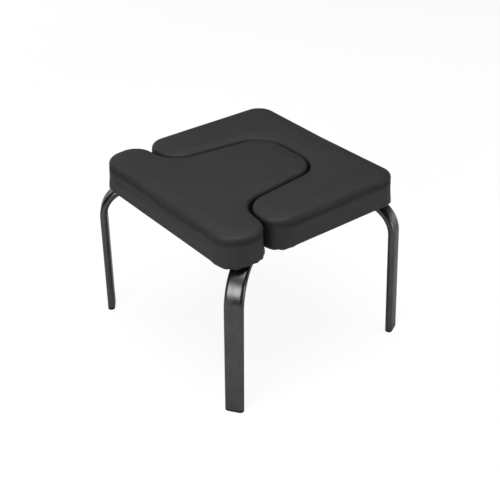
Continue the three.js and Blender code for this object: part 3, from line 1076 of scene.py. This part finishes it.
def swell(sheet):
    """Cloth under air pressure, held where the leather lies on the board, and kept to a small swelling."""
    held = sheet.vertex_groups.new(name="held")
    sheet.data.update()
    on_foam = [(vertex.co.copy(), vertex.normal.copy()) for vertex in sheet.data.vertices]
    for vertex in sheet.data.vertices:
        share = (free_above - vertex.co.z) / (free_above - held_below)
        held.add([vertex.index], min(1, max(0, share)), "REPLACE")
        top_share = min(1, max(0, (vertex.co.z - board_top) / (seat_top - board_top)))
        vertex.co.z -= swell_start * top_share
    cloth = sheet.modifiers.new("swell", "CLOTH")
    cloth.settings.quality = 5
    cloth.settings.mass = 0.3
    cloth.settings.tension_stiffness = 15
    cloth.settings.compression_stiffness = 15
    cloth.settings.shear_stiffness = 5
    cloth.settings.bending_stiffness = 0.5
    cloth.settings.use_pressure = True
    cloth.settings.uniform_pressure_force = swell_pressure
    cloth.settings.vertex_group_mass = "held"
    cloth.settings.effector_weights.gravity = 0
    cloth.point_cache.frame_start = 1
    cloth.point_cache.frame_end = swell_frames
    for step in range(1, swell_frames + 1):
        scene.frame_set(step)
    shown = sheet.evaluated_get(bpy.context.evaluated_depsgraph_get())
    moved = [vertex.co.copy() for vertex in shown.data.vertices]
    sheet.modifiers.clear()
    sheet.vertex_groups.clear()
    scene.frame_set(1)
    for vertex, (foam_place, outward), end in zip(sheet.data.vertices, on_foam, moved):
        move = end - vertex.co
        length = move.length
        if length > 0:
            move *= swell_cap * math.tanh(length / swell_cap) / length
        sideways = move.xy.length
        if sideways > swell_sideways:
            move.x *= swell_sideways / sideways
            move.y *= swell_sideways / sideways
        vertex.co += move
        # The leather may press only a little into the foam.
        sunk = (foam_place - vertex.co).dot(outward)
        if sunk > foam_give:
            vertex.co += outward * (sunk - foam_give)


def smooth_step(low, high, value):
    share = min(1, max(0, (value - low) / (high - low)))
    return share * share * (3 - 2 * share)


# Each corner is where the pad's sides meet, and how full the leather is gathered there. Each tuck is
# its start, its end and its depth.
pad_corner_places = {
    "t_pad": [
        (seat_half, seat_front, 1), (-seat_half, seat_front, 0.4),
        (seat_half, bar_rear, 0.7), (-seat_half, bar_rear, 0.5),
    ],
    "c_pad": [
        (seat_half, seat_back, 0.6), (-seat_half, seat_back, 0.5),
        (seat_half, bar_rear + slot_width, 0.7), (-seat_half, bar_rear + slot_width, 0.5),
    ],
}
wall_tucks = {
    "t_pad": [
        ((-seat_half, seat_front + 0.020, 0.318), (-0.150, seat_front, 0.306), 0.0007),
        ((0.196, seat_front + 0.028, 0.300), (seat_half, bar_rear - 0.030, 0.309), 0.0006),
    ],
    "c_pad": [
        ((seat_half, seat_back - 0.130, 0.318), (0.194, seat_back - 0.012, 0.325), 0.0014),
        ((seat_half, seat_back - 0.085, 0.303), (0.194, seat_back - 0.012, 0.307), 0.0011),
        ((-seat_half, seat_back - 0.080, 0.318), (-seat_half, seat_back - 0.020, 0.308), 0.0009),
        ((0.060, seat_back, 0.316), (0.150, seat_back, 0.303), 0.0007),
    ],
}
tuck_half = 0.0032
fold_height = 0.3335
fold_half = 0.0055
fold_depth = 0.0005
fold_mean_share = 0.85
fold_vary_share = 0.5
fold_waver = 0.0012
fold_reach = 0.018
fold_starts = 0.25
fold_full = 0.75
waver_scale = 22
bulge_reach = 0.060
bulge_full_share = 0.3
bulge_out = 0.0028
bulge_height = 0.030
pleat_pitch = 0.0105
pleat_wander = 2
pleat_depth = 0.0010
pleat_sag = 0.0020
sag_height = 0.006
sag_even_share = 0.6
arm_room = 0.010
slack = 0.0003
slack_scale = 14
flat_slack_share = 0.3


def beside(place, start, end):
    """How near a place is to a line, from 1 on it to 0 well off it, fading at the line's ends."""
    line = end - start
    share = (place - start).dot(line) / line.length_squared
    if share < 0 or share > 1:
        return 0
    off = (place - start - line * share).length
    return math.exp(-(off / tuck_half) ** 2) * math.sqrt(math.sin(math.pi * share))


def facing_out(place, normal):
    """How far a place on a pad's wall faces out of the seat, from 1 to 0 in the seam and the slots."""
    side = seat_half - abs(place.x)
    end = min(place.y - seat_front, seat_back - place.y)
    out = 0
    if side < fold_reach:
        out = max(out, math.copysign(normal.x, normal.x * place.x))
    if end < fold_reach:
        out = max(out, -normal.y if place.y < 0 else normal.y)
    return smooth_step(fold_starts, fold_full, out)


def folded(place, normal):
    """The depth of the fold under the rounded edge, and how near a place is to it, from 0 to 1."""
    flat = Vector((place.x, place.y, 0))
    line = fold_height + fold_waver * noise.noise(flat * waver_scale)
    near = facing_out(place, normal) * math.exp(-((place.z - line) / fold_half) ** 2)
    vary = noise.noise(flat * waver_scale / 2 + Vector((0, 0, 1)))
    return fold_depth * (fold_mean_share + fold_vary_share * vary), near


def gathered(place, corner, near, low):
    """How far the spare leather at a corner stands out in pleats, and how far it sags beside the arms."""
    x, y = corner
    middle = Vector((math.copysign(abs(x) - outer_corner, x), y))
    turn = math.atan2(place.y - middle.y, place.x - middle.x) * outer_corner
    wander = pleat_wander * noise.noise(Vector((turn / pleat_pitch, x, y)))
    ripple = math.sin(2 * math.pi * turn / pleat_pitch + wander)
    under = 1 - smooth_step(hem_bottom, hem_bottom + sag_height, place.z)
    room = smooth_step(0, arm_room, off_arm(place.xy))
    sag = pleat_sag * near * under * room * (sag_even_share + (1 - sag_even_share) * ripple)
    return bulge_out + pleat_depth * ripple * low, sag


def crease(sheet, corners, tucks):
    """Works the sheet as upholstery leaves it: full, pleated corners at the hem, a fold under the rounded
    edge, and slack and tucks on the walls."""
    sheet.data.update()
    lines = [(Vector(start), Vector(end), depth) for start, end, depth in tucks]
    normals = [vertex.normal.copy() for vertex in sheet.data.vertices]
    for vertex, normal in zip(sheet.data.vertices, normals):
        place = vertex.co.copy()
        outward = Vector((normal.x, normal.y, 0))
        wall = 1 - abs(normal.z)
        move = normal * slack * noise.noise(place * slack_scale) * (flat_slack_share + wall)
        for start, end, depth in lines:
            move -= normal * depth * beside(place, start, end)
        depth, near = folded(place, normal)
        move -= outward * depth * near
        low = 1 - smooth_step(wall_foot, wall_foot + bulge_height, place.z)
        for x, y, weight in corners:
            away = (place.xy - Vector((x, y))).length
            near = weight * (1 - smooth_step(bulge_full_share * bulge_reach, bulge_reach, away))
            if near > 0 and low > 0:
                fullness, sag = gathered(place, (x, y), near, low)
                move += outward * near * low * fullness
                move.z -= sag
        vertex.co += move


def thicken(sheet, thickness):
    """Gives a sheet its thickness, behind the face that is modelled."""
    skin = sheet.modifiers.new("skin", "SOLIDIFY")
    skin.thickness = thickness
    skin.offset = -1
    settle(sheet)


def make_cover(name, outline, corners, tucks):
    sheet = make_sheet(name, outline)
    swell(sheet)
    # The membrane comes off again: its faces are the only triangles as low as the hem.
    bm = bmesh.new()
    bm.from_mesh(sheet.data)
    low = [face for face in bm.faces if max(v.co.z for v in face.verts) < hem_bottom + membrane_lift]
    bmesh.ops.delete(bm, geom=[face for face in low if len(face.verts) == 3], context="FACES")
    bm.to_mesh(sheet.data)
    bm.free()
    finer = sheet.modifiers.new("finer", "SUBSURF")
    finer.levels = 1
    finer.render_levels = 1
    settle(sheet)
    crease(sheet, corners, tucks)
    thicken(sheet, cover_thickness)
    sheet.data.shade_smooth()
    return sheet


# Painted shade: along the fold line under the rounded edge, the leather's colour goes down to this grey in
# place of the shadow there.
painted_fold_shade_grey = 0.0175
fold_dulling = 0.2
# The shader's noise keeps near the middle of its range, so the fold's waver is spread wider there.
shader_waver = 4 * fold_waver


def make_cover_leather():
    """Matte black PU leather: fine pebble grain, faint larger creases, a soft sheen, and a duller line
    where the sheet folds under the rounded edge, with painted shade darkening that line."""
    finish, tree, shader = new_finish("cover_leather")
    colour, gloss = mottled(tree, scale=9, dark=(0.025, 0.025, 0.025), light=(0.029, 0.029, 0.029),
                            gloss_low=0.52, gloss_high=0.6)
    place = node(tree, "ShaderNodeTexCoord").outputs["Object"]
    waver = noisy(tree, place, Scale=waver_scale, Detail=2, Roughness=0.5)
    line = spread(tree, waver, To_Min=fold_height - shader_waver, To_Max=fold_height + shader_waver)
    height = node(tree, "ShaderNodeSeparateXYZ", Vector=place).outputs["Z"]
    off_line = computed(tree, "ABSOLUTE", computed(tree, "SUBTRACT", height, line))
    # Mask of the painted fold shade: 1 on the fold line and 0 two half-widths off it. It also dulls the
    # gloss there.
    fold_shade_mask = spread(tree, off_line, "SMOOTHERSTEP", From_Min=0, From_Max=2 * fold_half, To_Min=1, To_Max=0)
    duller = spread(tree, fold_shade_mask, From_Min=0, From_Max=1, To_Min=0, To_Max=fold_dulling)
    pebble = node(tree, "ShaderNodeTexVoronoi", Vector=place, Scale=820)
    pebble.feature = "SMOOTH_F1"
    grain = relief(tree, pebble.outputs["Distance"], strength=0.6, distance=0.00012)
    crinkle = noisy(tree, place, Scale=160, Detail=6, Roughness=0.65)
    # The base colour carries painted shade: along the fold line it darkens to the painted fold grey.
    fill_in(tree, shader, Specular_IOR_Level=0.2, Base_Color=mixed(tree, fold_shade_mask, colour, grey(painted_fold_shade_grey)),
            Roughness=computed(tree, "ADD", gloss, duller),
            Normal=relief(tree, crinkle, strength=0.35, distance=0.0003, Normal=grain))
    return finish


cover_leather = make_cover_leather()
for pad, outline in pad_outlines.items():
    cover = make_cover(f"{pad}_leather", outline, pad_corner_places[pad], wall_tucks[pad])
    dress(cover, pad_bodies[pad], cover_leather, f"{pad}_cover")


# Under each pad a sheet of black spunbond lining covers the board and the raw hem. It ends 8 mm inside
# the pad's edge and is punched for the fixings.
lining_inset = 0.008
pad_bottom, lining_top = (end.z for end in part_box("t_pad_lining"))
lining_thickness = lining_top - pad_bottom
lining_pitch = 0.009
lining_room_share = 0.4
lining_sharp = 40
pucker = 0.0007
pucker_scale = 30
pucker_mean_share = 0.5
pucker_starts = 0.005
pucker_full = 0.03
punch_sides = 28


def sheet_with_holes(name, outline, holes):
    """A net of triangles inside an outline and round its punched holes, puckered and thickened."""
    edge = [place + normal * lining_inset for place, normal, _ in outline]
    points = list(edge)
    edges = next_to_each(len(edge))
    for centre, radius in holes:
        edges += next_to_each(punch_sides, first=len(points))
        points += [on_circle(centre, radius, side, punch_sides) for side in range(punch_sides)]
    points += even_net(edge, points, lining_pitch, lining_pitch, lining_room_share, first_column=1)
    made, _, faces, _, _, _ = delaunay_2d_cdt(points, edges, [], 0, same_place)
    bm = bmesh.new()
    corners = [bm.verts.new(at_height(place, pad_bottom)) for place in made]
    for face in faces:
        middle = middle_of([made[i] for i in face])
        if inside(middle, edge) and all((middle - centre).length > radius for centre, radius in holes):
            bm.faces.new([corners[i] for i in face])
    loose = [vertex for vertex in bm.verts if not vertex.link_faces]
    bmesh.ops.delete(bm, geom=loose, context="VERTS")
    for vertex in bm.verts:
        from_edge = min((vertex.co.xy - p).length for p in edge)
        room = smooth_step(pucker_starts, pucker_full, from_edge)
        vertex.co.z += pucker * room * (pucker_mean_share + noise.noise(vertex.co * pucker_scale))
    for face in bm.faces:
        if face.normal.z > 0:
            face.normal_flip()
    lining = mesh_object(name, mesh_from(bm, name))
    thicken(lining, lining_thickness)
    shade(lining.data, lining_sharp)
    return lining


def make_lining_cloth():
    """Black spunbond cloth: tangled fibres pressed together at a close grid of small dots."""
    finish, tree, shader = new_finish("lining_cloth")
    colour, gloss = mottled(tree, scale=90, dark=(0.006, 0.006, 0.007), light=(0.016, 0.016, 0.017),
                            gloss_low=0.8, gloss_high=0.95)
    place = node(tree, "ShaderNodeTexCoord").outputs["Object"]
    dots = node(tree, "ShaderNodeTexVoronoi", Vector=place, Scale=700, Randomness=0.0).outputs["Distance"]
    press = relief(tree, dots, strength=0.5, distance=0.0002)
    fibres = noisy(tree, place, Scale=2400, Detail=4)
    fill_in(tree, shader, Specular_IOR_Level=0.2, Base_Color=colour, Roughness=gloss,
            Normal=relief(tree, fibres, strength=0.4, distance=0.0001, Normal=press))
    return finish


lining_cloth = make_lining_cloth()
pad_fixings = {
    "c_pad": ((bolt_places, bolt_diameter), (screw_places, screw_diameter)),
    "t_pad": ((stud_places, stud_diameter),),
}
for pad, outline in pad_outlines.items():
    holes = [
        (place, diameter / 2 + hole_clearance)
        for places, diameter in pad_fixings[pad]
        for place in places.values()
    ]
    lining = sheet_with_holes(f"{pad}_underlining", outline, holes)
    dress(lining, pad_bodies[pad], lining_cloth, f"{pad}_lining")


# A line of zinc-plated wire staples round each lining holds it and the hem to the board. They are shot
# by hand, so each one strays and turns a little.
staple_pitch = 0.034
staple_inset = 0.0105
staple_crown = 0.010
staple_wire = 0.0009
staple_height = 0.0005
staple_leg = 0.004
staple_off_arm = 0.007
staple_sharp = 30
wire_trim_share = 0.3
stray = 0.0012
stray_turn = 0.25
stray_scale = 40
stray_layer = 3


def wire_ends(bm, centre, along, length, bottom, top):
    """A bar of wire with its long edges taken off, as two rings of places."""
    across = Vector((-along.y, along.x))
    half = staple_wire / 2
    trim = staple_wire * wire_trim_share
    section = [(-half, trim), (-half + trim, 0), (half - trim, 0), (half, trim)]
    section += [(offset, top - bottom - rise) for offset, rise in reversed(section)]
    ends = []
    for end in (-length / 2, length / 2):
        places = [(centre + along * end + across * offset, bottom + rise) for offset, rise in section]
        ends.append([bm.verts.new(at_height(place, z)) for place, z in places])
    return ends


def add_staple(bm, centre, along):
    """A wire staple: its crown against the lining and two legs up into the board."""
    bars = [(centre, staple_crown, pad_bottom - staple_height, pad_bottom)]
    for side in (-1, 1):
        leg_place = centre + along * side * (staple_crown - staple_wire) / 2
        bars.append((leg_place, staple_wire, pad_bottom, pad_bottom + staple_leg))
    for middle, length, bottom, top in bars:
        first, second = wire_ends(bm, middle, along, length, bottom, top)
        for i, after in next_to_each(len(first)):
            bm.faces.new([first[i], first[after], second[after], second[i]])
        bm.faces.new(first)
        bm.faces.new(second)


def make_staples(name, outline):
    bm = bmesh.new()
    since = staple_pitch / 2
    for i, (place, normal, _) in enumerate(outline):
        since += (place - outline[i - 1][0]).length
        centre = place + normal * staple_inset
        if since >= staple_pitch and off_arm(centre) > staple_off_arm:
            wander = noise.noise(Vector((place.x * stray_scale, place.y * stray_scale, stray_layer)))
            along = Vector((normal.y, -normal.x))
            turned = (along + normal * stray_turn * wander).normalized()
            add_staple(bm, centre + normal * stray * wander, turned)
            since = 0.0
    return finished(bm, name, staple_sharp)


for pad, outline in pad_outlines.items():
    dress(make_staples(f"{pad}_staples", outline), pad_bodies[pad], zinc_plate)


# Four M6 hexagon bolts, each with a plain washer under the arm, come up through the back arms into the
# C pad's tee nuts. All are zinc plated.
washer_outer = 0.018
washer_inner = 0.0066
washer_thickness = 0.0016
washer_trim = 0.0002
washer_bottom = under_arm - washer_thickness
head_flats = 0.00866
head_height = 0.004
head_top = washer_bottom - mitre_gap
head_shares = ((0.44, 0), (0.5, 0.05), (0.5, 0.14), (0.5, 0.3), (0.5, 1))
chamfer_slope = 0.6
bolt_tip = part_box("c_pad_bolt_back_right")[1].z
bolt_in_head = 0.0002
bolt_plain = 0.002
bolt_point = 0.0008
bolt_point_share = 0.7
bolt_sharp = 25
thread_pitch = 0.001
thread_depth = 0.0005
crest_shares = (0.4, 0.55)
turned_sides = 36
turned_sharp = 40


def threaded(radius, bottom, top):
    """Profile of a thread as a row of sharp rings."""
    profile = []
    turns = round((top - bottom) / thread_pitch)
    for turn in range(turns):
        z = bottom + (top - bottom) * turn / turns
        profile.append((radius - thread_depth, z))
        profile += [(radius, z + thread_pitch * share) for share in crest_shares]
    return profile


def turned_piece(name, profile, centre, sharp=turned_sharp):
    """A turned piece, closed at both ends of its profile where that doesn't come back to its start."""
    bm, uv = new_form()
    if profile[0] == profile[-1]:
        rings = spun_rings(profile[:-1], centre, turned_sides)
        add_rings(bm, rings + [rings[0]], uv)
        bmesh.ops.remove_doubles(bm, verts=bm.verts, dist=same_place)
    else:
        add_solid(bm, spun_rings(profile, centre, turned_sides), uv)
    return finished(bm, name, sharp)


def hexagon_head(bm, uv, centre):
    """The bolt's head: six flats, with the corners turned off at the outer end."""
    rings = []
    for wide, high in head_shares:
        ring = []
        for side in range(turned_sides):
            angle = 2 * math.pi * side / turned_sides
            to_flat = (angle % (math.pi / 3)) - math.pi / 6
            corner = head_flats / 2 / math.cos(to_flat)
            turned = head_flats * wide + high * head_height * chamfer_slope
            place = on_circle(centre, min(corner, turned), side, turned_sides)
            ring.append(at_height(place, head_top - head_height + high * head_height))
        rings.append(ring)
    add_solid(bm, rings, uv)


def make_bolt(name, centre):
    radius = bolt_diameter / 2
    profile = [(radius, head_top - bolt_in_head)]
    profile += threaded(radius, head_top + bolt_plain, bolt_tip - bolt_point)
    profile.append((radius * bolt_point_share, bolt_tip))
    shank = turned_piece(f"{name}_shank", profile, centre, bolt_sharp)
    bm = bmesh.new()
    bm.from_mesh(shank.data)
    bpy.data.objects.remove(shank)
    hexagon_head(bm, bm.loops.layers.uv.active, centre)
    return finished(bm, name, bolt_sharp)


def washer_profile():
    inner = washer_inner / 2
    outer = washer_outer / 2
    trimmed = outer - washer_trim
    return [
        (inner, washer_bottom), (trimmed, washer_bottom), (outer, washer_bottom + washer_trim),
        (outer, under_arm - washer_trim), (trimmed, under_arm), (inner, under_arm), (inner, washer_bottom),
    ]


for place_name, place in bolt_places.items():
    bolt = make_bolt(f"bolt_{place_name}", place)
    washer = turned_piece(f"washer_{place_name}", washer_profile(), place)
    for piece, kind in ((bolt, "bolt"), (washer, "washer")):
        dress(piece, frame_body, zinc_plate, f"c_pad_{kind}_{place_name}")


# A zinc-plated pan-head wood screw goes up through each front arm into the C pad's board, where there
# is no room for a tee nut. Its head has a cross recess, and its coarse thread runs out to a point.
pan_width = 0.009
pan_height = 0.0025
pan_bottom = under_arm - pan_height
pan_shares = ((0.55, 0), (0.8, 0.12), (0.95, 0.4), (1, 0.75))
screw_pitch = 0.0018
screw_root_share = 0.7
screw_point_share = 0.1
screw_crest_share = 0.45
screw_root_end_share = 0.9
screw_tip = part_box("c_pad_screw_front_right")[1].z
recess_reach = 0.0016
recess_depth = 0.0012
recess_arm_share = 0.3
recess_shares = ((1, -1), (1, 0.5), (0.3, 1))


def screw_profile():
    """A pan head under a coarse wood thread."""
    radius = screw_diameter / 2
    head = pan_width / 2
    root = radius * screw_root_share
    profile = [(head * wide, pan_bottom + pan_height * high) for wide, high in pan_shares]
    profile += [(head, under_arm), (radius, under_arm)]
    z = under_arm + screw_pitch
    while z < screw_tip - screw_diameter:
        profile += [(root, z), (radius, z + screw_pitch * screw_crest_share)]
        profile.append((root, z + screw_pitch * screw_root_end_share))
        z += screw_pitch
    return profile + [(radius * screw_point_share, screw_tip)]


def cross_recess(centre):
    """What a cross driver takes out of the head, narrower at its inner end."""
    half = recess_reach * recess_arm_share
    cross = []
    for turn in range(4):
        angle = math.pi / 2 * turn
        out = Vector((math.cos(angle), math.sin(angle)))
        side = Vector((-out.y, out.x)) * half
        tip = centre + out * recess_reach
        cross += [tip - side, tip + side, centre + out * half + side]
    rings = []
    for wide, deep in recess_shares:
        z = pan_bottom + recess_depth * deep
        rings.append([at_height(centre + (place - centre) * wide, z) for place in cross])
    bm, uv = new_form()
    add_solid(bm, rings, uv)
    return finished(bm, "driver")


for place_name, place in screw_places.items():
    screw = turned_piece(f"screw_{place_name}", screw_profile(), place, sharp_angle)
    cut_away(screw, cross_recess(place))
    dress(screw, frame_body, zinc_plate, f"c_pad_screw_{place_name}")


# Four turned steel studs hang from the T pad's tee nuts and drop into holes in the front arms, so the
# pad lifts straight off. Each has a threaded top, a plain shank and a rounded point.
stud_tip, stud_top = (end.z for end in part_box("t_pad_stud_bar_right"))
stud_nose_share = 0.4
stud_round = 0.002
stud_round_steps = 5
stud_plain_top = pad_bottom + 0.002
stud_end_share = 0.8
stud_chamfer = 0.0005
stud_sharp = 30


def stud_profile():
    radius = stud_diameter / 2
    profile = [(radius * stud_nose_share, stud_tip)]
    for step in range(stud_round_steps + 1):
        angle = math.pi / 2 * step / stud_round_steps
        inset = stud_round * (1 - math.sin(angle))
        profile.append((radius - inset, stud_tip + stud_round * (1 - math.cos(angle))))
    profile += [(radius, stud_plain_top), (radius - thread_depth, stud_plain_top + thread_depth)]
    profile += threaded(radius, stud_plain_top + thread_pitch, stud_top - stud_chamfer)
    return profile + [(radius * stud_end_share, stud_top)]


for place_name, place in stud_places.items():
    stud = turned_piece(f"stud_{place_name}", stud_profile(), place, stud_sharp)
    dress(stud, lift_body, zinc_plate, f"t_pad_stud_{place_name}")
